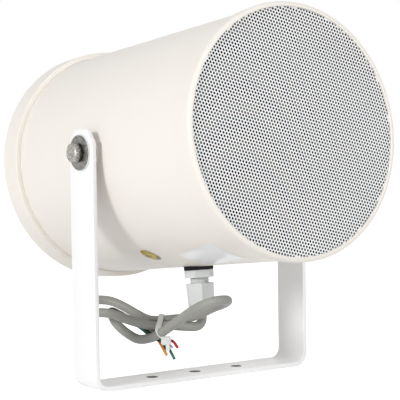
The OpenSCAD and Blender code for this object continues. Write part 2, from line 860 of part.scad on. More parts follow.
module cable_tie() {
    lowest = waist[2];
    out = lowest[0] - cord_r - tie_t - tie_head[0] / 2 + 1;
    color("white") at_waist() {
        difference() {
            tie_loop(tie_t, tie_w);
            tie_loop(0.1, tie_w + 2 * eps);
        }
        translate([out, 0, lowest[1] - 1]) cube(tie_head, center = true);
    }
}

bracket();
barrel();
rear_cap();
cap_seal_ring();
cap_screws();
grille();
dust_screen();
pivot_bolts();
spring_washers();
steel_washers();
plastic_washers();
spacers();
thread_inserts();
gland_seal();
gland_body();
gland_locknut();
gland_insert();
gland_nut();
chassis();
chassis_gasket();
chassis_screws();
surround();
cone();
dust_cap();
voice_coil();
spider();
top_plate();
magnet();
yoke();
terminal_board();
terminal_tags();
transformer_core();
transformer_bobbin();
transformer_winding();
transformer_frame();
transformer_screws();
inner_cable();
speaker_leads();
wiring_label();
gold_sticker();
cord();
cord_hank();
cord_cores();
cable_tie();
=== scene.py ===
"""Projection speaker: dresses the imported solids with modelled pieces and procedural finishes."""

import json
import math

import bmesh
import bpy
from bpy.props import FloatProperty, FloatVectorProperty, IntProperty, PointerProperty
from mathutils import Matrix, Vector
from mathutils.geometry import tessellate_polygon


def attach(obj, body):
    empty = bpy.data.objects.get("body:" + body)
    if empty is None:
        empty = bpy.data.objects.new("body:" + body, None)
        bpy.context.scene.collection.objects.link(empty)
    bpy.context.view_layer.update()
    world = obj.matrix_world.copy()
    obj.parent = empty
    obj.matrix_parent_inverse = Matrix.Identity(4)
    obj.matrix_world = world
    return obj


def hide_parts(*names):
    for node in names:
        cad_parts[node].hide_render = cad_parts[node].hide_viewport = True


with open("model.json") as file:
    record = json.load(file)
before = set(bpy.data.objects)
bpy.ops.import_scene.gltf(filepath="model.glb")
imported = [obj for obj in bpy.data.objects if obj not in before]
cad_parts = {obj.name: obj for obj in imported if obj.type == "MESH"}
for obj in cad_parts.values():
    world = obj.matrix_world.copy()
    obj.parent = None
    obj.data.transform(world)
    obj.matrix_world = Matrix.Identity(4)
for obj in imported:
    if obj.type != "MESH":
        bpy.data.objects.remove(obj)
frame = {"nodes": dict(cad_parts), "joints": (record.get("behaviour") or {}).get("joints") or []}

bl_info = {
    "name": "Projection Speaker",
    "version": (1, 0, 0),
    "blender": (4, 5, 0),
    "location": "View3D > Sidebar > Speaker",
    "description": "Models and finishes a barrel loudspeaker in its strap bracket",
    "category": "Add Mesh",
}

MM = 0.001
# A lathe's points on its axis keep this radius, in millimetres
CENTRE = 0.01
# Stations along the barrel's axis from the pivot, in millimetres
BARREL_END, GLAND_STATION, GRILLE_FACE = -126.5, -2.5, 125.6
# The cap's screws stand on this ring, in millimetres
SCREW_RING, SCREW_COUNT = 79.5, 4
# The pads' own radius, and where they and the gland's flat end from the barrel's axis, in millimetres
PAD_RADIUS, PAD_END, GLAND_FLAT = 9.2, 88, 87
# Thickness of what lies on the arm's outer face, from the arm outwards, in millimetres
LINER, FLAT_WASHER, LOCK_WASHER, BOLT_HEAD = 1, 1.2, 1.9, 4.4
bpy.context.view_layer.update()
TILT = next(j for j in frame["joints"] if j["name"] == "housing_tilt")
PIVOT = Vector(TILT["pos_m"])
TRAVEL = next(j for j in frame["joints"] if j["name"] == "cone_travel")
FORWARD = Vector(TRAVEL["axis"]).normalized()
UP = Vector((1, 0, 0)).cross(FORWARD).normalized() * -1

# The cable's centreline from the gland to the end of its sheath, in millimetres
CABLE_ROUTE = (
    (0, -10, 51), (0, -10.5, 47), (-2.5, -13, 42.5), (-7.5, -14.5, 40), (-13.5, -12, 40),
    (-23, -3.5, 40.6), (-29.5, 6.5, 39.5), (-37.5, 15.5, 41.5), (-46.5, 23.5, 45),
    (-55, 30.5, 49), (-64, 39, 50), (-68.5, 50, 51.5), (-65.5, 61.5, 52.5),
    (-57, 69.5, 54), (-45, 69.5, 55), (-35.5, 62.5, 54), (-29.5, 52.5, 50),
    (-25.5, 42, 45.5), (-24, 30, 42.5), (-25, 18, 42.5), (-21.5, 7, 43.7), (-14.5, -2, 45),
    (-13, -13.5, 47), (-13.5, -25, 50.2), (-14, -36, 54), (-14.5, -47.5, 58),
    (-15, -59, 61.5), (-19.5, -69.5, 65), (-30, -70.5, 65.5), (-35.5, -60.5, 61.5),
    (-37, -49.5, 56.5), (-36.5, -38, 51), (-35, -27, 46), (-34, -15.5, 41),
    (-33.5, -4.5, 36), (-34.5, 6.5, 31.5), (-38.5, 18, 29.5), (-42.5, 28.5, 33.5),
    (-45, 38.5, 39.5), (-44.5, 46, 45),
)
# Where the bundle of cores crosses the tie's plane, as (x, z) in the tie's frame in millimetres
CORE_BUNDLE = (-0.3, 30.8)
# The bundle of cores from the end of the sheath back to the tie
CORE_ROUTE = (
    (-44.5, 45.5, 44.7), (-43.5, 50, 47.5), (-40.5, 51.5, 47.5), (-38.2, 46, 46),
    (-37, 37, 43.5), (-34.8, 28.6, 41), (-32.7, 20.8, 38), (-31, 12.5, 34),
)


def mm(*values):
    return Vector(values) * MM


# Sizes and colours

def length(name, text, value, low=0.0, high=1.0):
    return FloatProperty(name=name, description=text, default=value, min=low, max=high,
                         unit="LENGTH", subtype="DISTANCE", precision=4)


def tint(name, text, value):
    return FloatVectorProperty(name=name, description=text, default=value, size=3,
                               min=0.0, max=1.0, subtype="COLOR")


class SpeakerHousing(bpy.types.PropertyGroup):
    barrel_radius: length("Barrel radius", "Outside radius of the barrel", 0.0872)
    wall: length("Wall", "Thickness of the barrel's wall", 0.0035)
    rim_radius: length("Rim radius", "Outside radius of the flared front rim", 0.089)
    flare: length("Flare", "Length over which the barrel swells into the rim", 0.029)
    lip: length("Lip", "Width of the flat lip round the grille", 0.0035)
    lip_round: length("Lip rounding", "Rounding of the rim's outer edge", 0.0024)
    front: length("Front reach", "From the pivot to the rim", 0.127)
    back: length("Back reach", "From the pivot to the back of the cap", 0.132)
    cap_radius: length("Cap radius", "Outside radius of the rear cap", 0.091)
    cap_length: length("Cap length", "Length of the rear cap", 0.0235)
    cap_round: length("Cap rounding", "Rounding of the cap's back edge", 0.004)


class SpeakerGrille(bpy.types.PropertyGroup):
    pitch: length("Hole pitch", "Distance between the holes' centres", 0.0025)
    hole: length("Hole radius", "Radius of one hole", 0.00092)
    thickness: length("Sheet thickness", "Thickness of the perforated sheet", 0.0004)
    radius: length("Grille radius", "Radius of the perforated sheet, whose edge sits under the lip", 0.087)
    margin: length("Margin", "Plain margin outside the holes' cells", 0.0001)
    turn: FloatProperty(name="Turn of rows", description="Turn of the rows of holes",
                        default=math.radians(-14.5), subtype="ANGLE")


class SpeakerBracket(bpy.types.PropertyGroup):
    width: length("Strap width", "Width of the strap", 0.032)
    thickness: length("Strap thickness", "Thickness of the strap", 0.0035)
    gap: length("Gap", "Clear width between the arms", 0.185)
    bend: length("Bend radius", "Outside radius of the bends", 0.011)
    edge: length("Edge rounding", "Rounding of the strap's edges under its paint", 0.0006)
    hole: length("Hole radius", "Radius of the fixing holes", 0.0045)
    hole_pitch: length("Hole pitch", "Distance between the fixing holes", 0.0385)


class SpeakerCable(bpy.types.PropertyGroup):
    sheath: length("Cable radius", "Radius of the cable's sheath", 0.0035)
    core: length("Core radius", "Radius of one insulated core", 0.0011)
    tie_width: length("Tie width", "Width of the cable tie's strap", 0.004)
    tie_thickness: length("Tie thickness", "Thickness of the cable tie's strap", 0.0011)
    sides: IntProperty(name="Sides", description="Sides of the cable's round section",
                       default=24, min=8, max=48)


class SpeakerColours(bpy.types.PropertyGroup):
    shell: tint("Housing", "Warm white moulded plastic", (0.87, 0.832, 0.775))
    paint: tint("Bracket", "Gloss white paint", (0.93, 0.93, 0.935))
    sheet: tint("Grille", "White painted sheet", (0.93, 0.93, 0.93))
    steel: tint("Steel", "Zinc-plated steel", (0.37, 0.36, 0.34))
    gland: tint("Gland", "Light grey nylon", (0.71, 0.73, 0.72))
    cable: tint("Cable", "Grey cable sheath", (0.32, 0.32, 0.3))
    gold: tint("Sticker", "Olive gold film", (0.38, 0.29, 0.02))
    label: tint("Label", "Satin film", (0.9, 0.91, 0.93))


GROUPS = {"speaker_housing": SpeakerHousing, "speaker_grille": SpeakerGrille,
          "speaker_bracket": SpeakerBracket, "speaker_cable": SpeakerCable,
          "speaker_colours": SpeakerColours}


# Shader maths

def opaque(colour):
    return (*colour, 1.0)


class Sock:
    """One socket of a material. Python's operators on it add Math nodes."""

    def __init__(self, finish, socket):
        self.finish = finish
        self.socket = socket

    def sum(self, operation, *values):
        return self.finish.node("ShaderNodeMath", {"operation": operation}, *values)

    def __add__(self, other):
        return self.sum("ADD", self, other)

    def __radd__(self, other):
        return self.sum("ADD", other, self)

    def __sub__(self, other):
        return self.sum("SUBTRACT", self, other)

    def __rsub__(self, other):
        return self.sum("SUBTRACT", other, self)

    def __mul__(self, other):
        return self.sum("MULTIPLY", self, other)

    def __rmul__(self, other):
        return self.sum("MULTIPLY", other, self)

    def __gt__(self, other):
        return self.sum("GREATER_THAN", self, other)

    def __lt__(self, other):
        return self.sum("LESS_THAN", self, other)


class Finish:
    """A material whose surface is one Principled BSDF with constants set on its own sockets."""

    def __init__(self, name, **constants):
        self.material = bpy.data.materials.new(name)
        self.material.use_nodes = True
        self.tree = self.material.node_tree
        self.surface = self.tree.nodes["Principled BSDF"]
        for socket, value in constants.items():
            value = opaque(value) if hasattr(value, "__len__") else value
            self.surface.inputs[socket.replace("_", " ")].default_value = value

    def node(self, kind, settings=None, *values, out=0, **named):
        made = self.tree.nodes.new(kind)
        for key, value in (settings or {}).items():
            setattr(made, key, value)
        pairs = list(enumerate(values)) + [(k.replace("_", " "), v) for k, v in named.items()]
        for socket, value in pairs:
            target = made.inputs[socket]
            if isinstance(value, Sock):
                self.tree.links.new(value.socket, target)
            elif hasattr(value, "__len__") and len(value) == 3 and target.type == "RGBA":
                target.default_value = opaque(value)
            else:
                target.default_value = value
        return Sock(self, made.outputs[out])

    def place(self, stretch=(1, 1, 1)):
        """The place on the piece in metres, stretched along each axis."""
        at = self.node("ShaderNodeTexCoord", out="Object")
        return self.node("ShaderNodeMapping", None, at, (0, 0, 0), (0, 0, 0), stretch)

    def axes(self):
        """The place's three coordinates, in metres."""
        return [self.node("ShaderNodeSeparateXYZ", None, self.place(), out=k) for k in range(3)]

    def noise(self, scale, detail=3.0, roughness=0.5, at=None):
        return self.node("ShaderNodeTexNoise", None, Vector=at or self.place(), Scale=scale,
                         Detail=detail, Roughness=roughness)

    def blend(self, mask, one, other):
        mixed = self.tree.nodes.new("ShaderNodeMix")
        mixed.data_type = "RGBA"
        for socket, value in ((0, mask), (6, one), (7, other)):
            if isinstance(value, Sock):
                self.tree.links.new(value.socket, mixed.inputs[socket])
            else:
                value = opaque(value) if hasattr(value, "__len__") else value
                mixed.inputs[socket].default_value = value
        return Sock(self, mixed.outputs[2])

    def shade(self, colour, spread, mask):
        """The colour, lighter and darker by the spread as the mask goes from 0 to 1."""
        dark = [c * (1 - spread) for c in colour]
        light = [min(c * (1 + spread), 1.0) for c in colour]
        return self.blend(mask, dark, light)

    def feed(self, **sockets):
        for name, value in sockets.items():
            self.tree.links.new(value.socket, self.surface.inputs[name.replace("_", " ")])
        return self

    def relief(self, height, depth, strength=1.0):
        return self.feed(Normal=self.node("ShaderNodeBump", None, Strength=strength,
                                          Distance=depth, Height=height))


def finishes():
    """Every material, by the name of the finish it gives."""
    c = bpy.context.scene.speaker_colours
    made = {}

    shell = Finish("moulded_shell", IOR=1.48)
    cloud, grain = shell.noise(9, 3), shell.noise(900, 4, 0.6)
    scuff = shell.noise(60, 5, 0.65, shell.place((1, 0.25, 1)))
    shell.feed(Base_Color=shell.shade(c.shell, 0.02, cloud),
               Roughness=0.34 + 0.1 * scuff + 0.08 * grain)
    made["shell"] = shell.relief(grain + 0.3 * scuff, 0.00006, 0.5)

    paint = Finish("gloss_paint", IOR=1.5, Coat_Roughness=0.06)
    peel, drift = paint.noise(420, 2, 0.4), paint.noise(12, 2)
    strap = bpy.context.scene.speaker_bracket
    x, y, z = paint.axes()
    # Painted shade: the walls of the fixing holes are coloured dark grey for the shade inside the holes.
    reach, skin = strap.hole_pitch + 2 * strap.hole, 0.0003
    painted_hole_shade = (x * x < reach ** 2) * (y * y < (strap.hole + 0.0005) ** 2)
    painted_hole_shade = painted_hole_shade * (z > skin) * (z < strap.thickness - skin)
    paint.feed(Base_Color=paint.blend(painted_hole_shade, paint.shade(c.paint, 0.012, drift), (0.16, 0.16, 0.16)),
               Roughness=0.24 + 0.1 * drift + 0.03 * peel)
    made["paint"] = paint.relief(peel, 0.00001, 0.06)

    sheet = Finish("sheet_paint", IOR=1.5)
    speck, drift = sheet.noise(1500, 3), sheet.noise(14, 2)
    sheet.feed(Base_Color=sheet.shade(c.sheet, 0.025, drift), Roughness=0.42 + 0.15 * speck)
    made["sheet"] = sheet.relief(speck, 0.00004, 0.4)

    foam = Finish("dust_foam", Specular_IOR_Level=0.2)
    cell = foam.node("ShaderNodeTexVoronoi", None, Vector=foam.place(), Scale=1400)
    foam.feed(Base_Color=foam.shade((0.012, 0.012, 0.013), 0.5, cell), Roughness=0.85 + 0.1 * cell)
    made["foam"] = foam.relief(cell, 0.0003, 0.8)

    # The lock washers' near-black colour is partly their own blackened finish and partly painted shade, for
    # the shadow between each bolt head and its flat washer.
    for name, colour in (("steel", c.steel), ("washer", [v * 0.6 for v in c.steel]),
                         ("spring", [v * 0.2 for v in c.steel])):
        plate = Finish("zinc_plate_" + name, Metallic=1.0)
        turned = plate.noise(500, 4, 0.6, plate.place((0.2, 1, 1)))
        blotch = (plate.noise(850, 3, 0.55) - 0.34) * 3.1
        plate.feed(Base_Color=plate.shade(colour, 0.45, blotch),
                   Roughness=0.2 + 0.2 * blotch + 0.1 * turned)
        made[name] = plate.relief(turned + 0.6 * blotch, 0.00008, 0.5)

    clear = Finish("clear_nylon", IOR=1.5, Subsurface_Weight=0.1)
    milk = clear.noise(120, 3)
    clear.feed(Base_Color=clear.shade((0.84, 0.84, 0.82), 0.05, milk), Roughness=0.35 + 0.15 * milk)
    made["nylon"] = clear.relief(milk, 0.0001, 0.3)

    gland = Finish("gland_nylon", IOR=1.52)
    milk, grain = gland.noise(60, 3), gland.noise(1400, 3)
    gland.feed(Base_Color=gland.shade(c.gland, 0.05, milk), Roughness=0.3 + 0.12 * milk + 0.1 * grain)
    made["gland"] = gland.relief(grain, 0.00005, 0.5)

    rubber = Finish("black_rubber", Specular_IOR_Level=0.12)
    grain = rubber.noise(900, 5, 0.7)
    rubber.feed(Base_Color=rubber.shade((0.02, 0.02, 0.021), 0.4, grain), Roughness=0.6 + 0.25 * grain)
    made["rubber"] = rubber.relief(grain, 0.0001, 0.6)

    cable = Finish("cable_sheath", IOR=1.47)
    soft, grain = cable.noise(40, 4, 0.55), cable.noise(1600, 4, 0.65)
    cable.feed(Base_Color=cable.shade(c.cable, 0.07, soft), Roughness=0.32 + 0.14 * soft + 0.1 * grain)
    made["cable"] = cable.relief(grain + 0.8 * soft, 0.00008, 0.5)

    for name, colour in (("white", (0.72, 0.7, 0.74)), ("black", (0.015, 0.015, 0.017)),
                         ("orange", (0.82, 0.32, 0.03)), ("green", (0.0, 0.14, 0.1)),
                         ("red", (0.48, 0.01, 0.03)), ("blue", (0.03, 0.12, 0.5))):
        core = Finish("core_" + name, IOR=1.5)
        soft = core.noise(300, 3)
        core.feed(Base_Color=core.shade(colour, 0.12, soft), Roughness=0.32 + 0.2 * soft)
        made["core_" + name] = core.relief(soft, 0.00005, 0.4)

    gold = Finish("gold_film", Metallic=0.75, IOR=1.5)
    fleck = gold.noise(700, 5, 0.7)
    ring = (gold.noise(330, 2, 0.5, gold.place((1, 0.6, 1))) - 0.38) * 4
    gold.feed(Base_Color=gold.blend(ring, [v * 0.25 for v in c.gold], [min(v * 1.5, 1) for v in c.gold]),
              Roughness=0.25 + 0.3 * fleck)
    made["gold"] = gold.relief(fleck, 0.00006, 0.5)

    label = Finish("label_film", IOR=1.5, Coat_Weight=0.3, Coat_Roughness=0.15)
    fibre = label.noise(500, 4, 0.6)
    label.feed(Base_Color=label.shade(c.label, 0.03, fibre), Roughness=0.28 + 0.12 * fibre)
    made["label"] = label.relief(fibre, 0.00003, 0.3)

    dark = Finish("chassis_paint", IOR=1.5)
    grain = dark.noise(700, 3)
    dark.feed(Base_Color=dark.shade((0.03, 0.03, 0.032), 0.3, grain), Roughness=0.4 + 0.2 * grain)
    made["chassis"] = dark.relief(grain, 0.00006, 0.5)

    paper = Finish("cone_paper", Specular_IOR_Level=0.3)
    fibre = paper.noise(500, 6, 0.7)
    paper.feed(Base_Color=paper.shade((0.035, 0.035, 0.037), 0.5, fibre), Roughness=0.75 + 0.2 * fibre)
    made["paper"] = paper.relief(fibre, 0.0002, 0.8)

    cloth = Finish("spider_cloth", Specular_IOR_Level=0.3)
    warp = cloth.noise(900, 2, 0.5, cloth.place((1, 0.1, 1)))
    weft = cloth.noise(900, 2, 0.5, cloth.place((0.1, 1, 1)))
    cloth.feed(Base_Color=cloth.shade((0.5, 0.36, 0.14), 0.25, warp * weft), Roughness=0.8 + 0.15 * warp)
    made["cloth"] = cloth.relief(warp + weft, 0.0002, 0.8)

    brass = Finish("turned_brass", Metallic=1.0)
    turned = brass.noise(400, 3, 0.5, brass.place((4, 1, 1)))
    brass.feed(Base_Color=brass.shade((0.62, 0.42, 0.14), 0.15, turned), Roughness=0.25 + 0.2 * turned)
    made["brass"] = brass.relief(turned, 0.00006, 0.4)

    ferrite = Finish("ferrite", Specular_IOR_Level=0.5)
    grain = ferrite.noise(350, 6, 0.7)
    ferrite.feed(Base_Color=ferrite.shade((0.04, 0.04, 0.045), 0.4, grain), Roughness=0.5 + 0.3 * grain)
    made["ferrite"] = ferrite.relief(grain, 0.0002, 0.6)

    stack = Finish("lamination_steel", Metallic=0.9)
    leaf = stack.node("ShaderNodeTexWave", {"bands_direction": "Z"}, Vector=stack.place(), Scale=640.0)
    stack.feed(Base_Color=stack.shade((0.3, 0.3, 0.31), 0.35, leaf), Roughness=0.4 + 0.2 * leaf)
    made["stack"] = stack.relief(leaf, 0.0001, 0.6)

    coil = Finish("enamelled_wire", Metallic=0.6, Coat_Weight=0.5)
    turn = coil.node("ShaderNodeTexWave", {"bands_direction": "Y"}, Vector=coil.place(), Scale=900.0)
    coil.feed(Base_Color=coil.shade((0.5, 0.2, 0.07), 0.3, turn), Roughness=0.3 + 0.2 * turn)
    made["coil"] = coil.relief(turn, 0.0002, 0.8)

    board = Finish("hard_paper", Specular_IOR_Level=0.4)
    fibre = board.noise(600, 5, 0.6, board.place((1, 0.3, 1)))
    board.feed(Base_Color=board.shade((0.2, 0.09, 0.035), 0.25, fibre), Roughness=0.5 + 0.2 * fibre)
    made["board"] = board.relief(fibre, 0.0001, 0.5)
    return {name: finish.material for name, finish in made.items()}


def finish(name):
    if "moulded_shell" not in bpy.data.materials:
        FINISHES.update(finishes())
    return FINISHES[name]


FINISHES = {}


# Mesh helpers

def barrel_space():
    """Local x to the right, y up and z forwards along the barrel, from the pivot."""
    return Matrix.Translation(PIVOT) @ Matrix((
        (1, UP.x, FORWARD.x, 0), (0, UP.y, FORWARD.y, 0), (0, UP.z, FORWARD.z, 0), (0, 0, 0, 1)))


def gland_space():
    """Local z straight down from the barrel's axis at the gland's station."""
    back = mm(0, 0, GLAND_STATION)
    return barrel_space() @ Matrix.Translation(back) @ Matrix.Rotation(math.radians(90), 4, "X")


def pivot_space(side):
    return Matrix.Translation(PIVOT) @ Matrix.Rotation(side * math.radians(90), 4, "Y")


def mesh_from(name, points, faces, space=None, smooth=35.0):
    """A new object from points in millimetres, shaded smooth except at edges sharper than smooth."""
    mesh = bpy.data.meshes.new(name)
    space = space or Matrix.Identity(4)
    mesh.from_pydata([space @ (Vector(p) * MM) for p in points], [], faces)
    mesh.validate()
    bm = bmesh.new()
    bm.from_mesh(mesh)
    bmesh.ops.remove_doubles(bm, verts=bm.verts, dist=1e-7)
    bmesh.ops.recalc_face_normals(bm, faces=bm.faces)
    bm.to_mesh(mesh)
    bm.free()
    return shaded(link(bpy.data.objects.new(name, mesh)), smooth)


def link(made):
    bpy.context.scene.collection.objects.link(made)
    return made


def shaded(made, smooth=35.0):
    mesh = made.data
    mesh.shade_smooth()
    bm = bmesh.new()
    bm.from_mesh(mesh)
    limit = math.radians(smooth)
    for edge in bm.edges:
        edge.smooth = len(edge.link_faces) == 2 and edge.calc_face_angle(0.0) < limit
    bm.to_mesh(mesh)
    bm.free()
    return made


def grid_faces(rows, columns, closed_columns=True, closed_rows=False):
    """Quads of a grid whose point i, j is number i * columns + j."""
    faces = []
    for i in range(rows if closed_rows else rows - 1):
        for j in range(columns if closed_columns else columns - 1):
            a, b = i * columns + j, i * columns + (j + 1) % columns
            step = ((i + 1) % rows) * columns - i * columns
            faces.append((a, b, b + step, a + step))
    return faces


def polar(radius, angle):
    return radius * math.cos(angle), radius * math.sin(angle)


def round_angles(count):
    return [2 * math.pi * k / count for k in range(count)]


def lathe(profile, sides=256, closed=False):
    """Points and faces of a profile of (radius, height) turned about z."""
    points = [(*polar(r, a), z) for r, z in profile for a in round_angles(sides)]
    return points, grid_faces(len(profile), sides, True, closed)


def arc(centre, radius, start, end, steps=6):
    """Points of an arc in a profile, from one angle to another in degrees."""
    angles = [math.radians(start + (end - start) * k / steps) for k in range(steps + 1)]
    return [(centre[0] + radius * math.cos(a), centre[1] + radius * math.sin(a)) for a in angles]


def merged(*parts):
    """One list of points and faces from several."""
    points, faces = [], []
    for more, quads in parts:
        faces += [tuple(i + len(points) for i in quad) for quad in quads]
        points += list(more)
    return points, faces


def moved(part, space):
    """The part after a move that is given in millimetres."""
    return [tuple(space @ Vector(p)) for p in part[0]], part[1]


def curve_points(route, steps):
    """A smooth curve through the points, with its ends straight."""
    p = [Vector(q) for q in route]
    p = [2 * p[0] - p[1], *p, 2 * p[-1] - p[-2]]
    out = []
    for i in range(1, len(p) - 2):
        a, b, c, d = p[i - 1:i + 3]
        for k in range(steps):
            t = k / steps
            out.append(0.5 * (2 * b + (c - a) * t + (2 * a - 5 * b + 4 * c - d) * t * t
                              + (3 * b - a - 3 * c + d) * t ** 3))
    return out + [p[-2]]


def tube(path, radius, sides, cap=0.3):
    """Points and faces of a round bar along a path, with rounded rims at its ends."""
    ahead = [(path[min(i + 1, len(path) - 1)] - path[max(i - 1, 0)]).normalized()
             for i in range(len(path))]
    side = ahead[0].orthogonal().normalized()
    rings, radii = [], []
    for at, way in zip(path, ahead):
        side = (side - way * side.dot(way)).normalized()
        rings.append((at, side.copy(), way.cross(side)))
        radii.append(radius)
    first, last = rings[0], rings[-1]
    rings.insert(0, (first[0] - ahead[0] * cap, first[1], first[2]))
    rings.append((last[0] + ahead[-1] * cap, last[1], last[2]))
    radii = [radius - cap, *radii, radius - cap]
    points = [tuple(at + r * (math.cos(a) * u + math.sin(a) * v))
              for (at, u, v), r in zip(rings, radii) for a in round_angles(sides)]
    faces = grid_faces(len(rings), sides)
    faces.append(tuple(range(sides))[::-1])
    faces.append(tuple(range((len(rings) - 1) * sides, len(rings) * sides)))
    return points, faces


def hexagon_radius(flats, angle, turn=0.0):
    """Distance from the centre to a hexagon's side at this angle."""
    a = (math.degrees(angle) - turn) % 60 - 30
    return flats / 2 / math.cos(math.radians(a))


def hex_part(flats, rows, turn=0.0, sides=144):
    """Points and faces of a hexagon whose rows are (height, largest radius, taper)."""
    points = []
    for z, largest, taper in rows:
        for a in round_angles(sides):
            r = min(hexagon_radius(flats, a, turn) * taper, largest)
            points.append((*polar(r, a), z))
    return points, grid_faces(len(rows), sides)


def settle(made, body, material, *nodes, slot=None):
    """Gives the piece its finish, and puts it on its body in place of the nodes."""
    made.data.materials.clear()
    made.data.materials.append(finish(material))
    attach(made, body)
    if nodes:
        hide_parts(*nodes)
    return made


def redress(node, material):
    """A new finish on a node's own solid."""
    mesh = frame["nodes"][node].data
    mesh.materials.clear()
    mesh.materials.append(finish(material))


def cut(made, *cutters):
    """Takes the cutters' shapes out of the piece."""
    for cutter in cutters:
        modifier = made.modifiers.new("cut", "BOOLEAN")
        modifier.operation = "DIFFERENCE"
        modifier.object = cutter
        modifier.solver = "EXACT"
        bpy.context.view_layer.update()
        result = bpy.data.meshes.new_from_object(
            made.evaluated_get(bpy.context.evaluated_depsgraph_get()))
        made.modifiers.clear()
        made.data = result
        bpy.data.objects.remove(cutter)
    return made


def block(centre, size, r):
    """A box with rounded edges."""
    bm = bmesh.new()
    bmesh.ops.create_cube(bm, size=1.0)
    bmesh.ops.scale(bm, vec=Vector(size), verts=bm.verts)
    bmesh.ops.bevel(bm, geom=bm.edges[:], offset=r, segments=3, affect="EDGES")
    bmesh.ops.translate(bm, vec=Vector(centre), verts=bm.verts)
    bm.verts.index_update()
    part = [tuple(v.co) for v in bm.verts], [tuple(v.index for v in f.verts) for f in bm.faces]
    bm.free()
    return part


def rod_at(start, end, radius, sides=64):
    """A plain cutter between two points in millimetres."""
    points, faces = tube([Vector(start), Vector(end)], radius, sides, 0.01)
    return mesh_from("cutter", points, faces)


def screw_places():
    return [Vector((*polar(SCREW_RING, a + math.radians(45)), 0)) for a in round_angles(SCREW_COUNT)]


# Operators

class SPEAKER_OT_barrel(bpy.types.Operator):
    """Turn the barrel with its flared rim, soft lip and baffle"""

    bl_idname = "speaker.barrel"
    bl_label = "Barrel"

    def execute(self, context):
        s = context.scene.speaker_housing
        outer, wall, rim, front = (v / MM for v in (s.barrel_radius, s.wall, s.rim_radius, s.front))
        lip, edge, flare = s.lip / MM, s.lip_round / MM, s.flare / MM
        inner, pocket, seat, ledge = outer - wall, rim - lip, front - 3.7, 83
        groove, groove_top, groove_low = rim - lip + 1.7, front - 1.25, front - 2.1
        baffle, opening = 112, 74
        rise = [(outer + (rim - outer) * (1 - math.cos(math.pi * k / 16)) / 2,
                 front - flare + (flare - edge) * k / 16) for k in range(17)]
        profile = ([(inner, BARREL_END), (outer, BARREL_END)] + rise
                   + arc((rim - edge, front - edge), edge, 10, 90, 8)
                   + arc((pocket + 0.5, front - 0.5), 0.5, 90, 180, 4)
                   + [(pocket, groove_top), (groove, groove_top), (groove, groove_low),
                      (pocket, groove_low), (pocket, seat), (ledge, seat), (ledge, seat - 2),
                      (inner, seat - 3), (inner, baffle), (opening, baffle), (opening, baffle - 5),
                      (inner, baffle - 9)])
        parts = [lathe(profile, 288, True), *self.pads(), self.gland_flat(), *self.pillars()]
        points, faces = merged(*parts)
        settle(mesh_from("barrel_shell", points, faces, barrel_space(), 30), "housing", "shell",
               "barrel", slot="housing_plastic")
        return {"FINISHED"}

    def pads(self):
        """The raised rings that the spacers bear on."""
        bore, foot = 6, 71
        pad = lathe([(bore, foot + 3)] + arc((bore + 0.3, PAD_END - 0.3), 0.3, 180, 90, 2)
                    + arc((PAD_RADIUS - 0.4, PAD_END - 0.4), 0.4, 90, 0, 3)
                    + [(PAD_RADIUS, foot), (CENTRE, foot), (CENTRE, foot + 3)], 96, True)
        return [moved(pad, Matrix.Rotation(side * math.pi / 2, 4, "Y")) for side in (-1, 1)]

    def gland_flat(self):
        """The raised ring on the underside that the gland's seal bears on."""
        bore, outer, foot = 7.9, 11, 81.5
        flat = lathe([(bore, foot), (bore, GLAND_FLAT)]
                     + arc((outer - 0.3, GLAND_FLAT - 0.3), 0.3, 90, 0, 3) + [(outer, foot)], 96, True)
        down = Matrix.Translation((0, 0, GLAND_STATION)) @ Matrix.Rotation(math.pi / 2, 4, "X")
        return moved(flat, down)

    def pillars(self):
        """The posts that take the cap's screws."""
        bore, outer, top = 1.75, 5, BARREL_END + 24
        pillar = lathe([(bore, BARREL_END), (outer, BARREL_END), (outer, top), (CENTRE, top),
                        (CENTRE, top - 5.5), (bore, top - 5.5)], 32, True)
        return [moved(pillar, Matrix.Translation(at)) for at in screw_places()]


